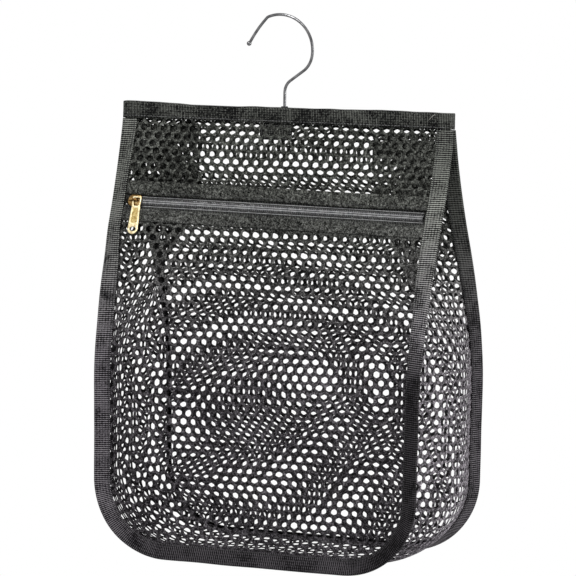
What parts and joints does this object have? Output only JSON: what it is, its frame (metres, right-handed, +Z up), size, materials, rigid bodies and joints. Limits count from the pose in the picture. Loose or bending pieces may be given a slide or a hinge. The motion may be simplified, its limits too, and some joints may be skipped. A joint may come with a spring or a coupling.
{
  "type": "peg bag",
  "caption": "Hanging bag of knitted mesh with a zipped front, folded sides, ribbed seam bindings and a swivelling wire hook, in its filled shape.",
  "frame": {"origin": "the inside of the hook's crown, where it rests on what the bag hangs from", "axes": "+X to the right as seen from the zipped front, +Y towards the back panel, +Z up"},
  "size_m": [0.2951, 0.169, 0.4419],
  "materials": {
    "hook_wire": "dark nickel",
    "bar_plastic": "matte",
    "woven_tape": "ribbed weave",
    "knitted_mesh": "open knit",
    "zip_tape": "fine weave",
    "zip_teeth": "satin",
    "aged_brass": "aged"
  },
  "bodies": {
    "hook": {"hook": "hook_wire", "hook_washer": "hook_wire", "hook_nut": "hook_wire"},
    "bag": {"hanger_bar": "bar_plastic", "top_binding": "woven_tape", "hook_patch": "woven_tape", "front_upper_panel": "knitted_mesh", "front_lower_panel": "knitted_mesh", "back_panel": "knitted_mesh", "gusset": "knitted_mesh", "front_edge_binding": "woven_tape", "back_edge_binding": "woven_tape", "upper_zip_band": "woven_tape", "lower_zip_band": "woven_tape", "upper_zip_tape": "zip_tape", "lower_zip_tape": "zip_tape", "upper_teeth": "zip_teeth", "lower_teeth": "zip_teeth"},
    "slider": {"slider": "aged_brass"},
    "puller": {"puller": "aged_brass"}
  },
  "joints": [
    {"name": "hook_swivel", "type": "hinge", "parent": "hook", "child": "bag", "pos_m": [0.00452, 0, -0.07283], "axis": [0, 0, 1], "continuous": true},
    {"name": "zip_slide", "type": "slide", "parent": "bag", "child": "slider", "axis": [1, -0.0032, -0.0087], "range_m": [0, 0.2459], "deforming": ["upper_teeth", "lower_teeth"]},
    {"name": "puller_swing", "type": "hinge", "parent": "slider", "child": "puller", "pos_m": [-0.11361, -0.02614, -0.15116], "axis": [0, -0.937, 0.3494], "range_deg": [-20, 90]}
  ]
}
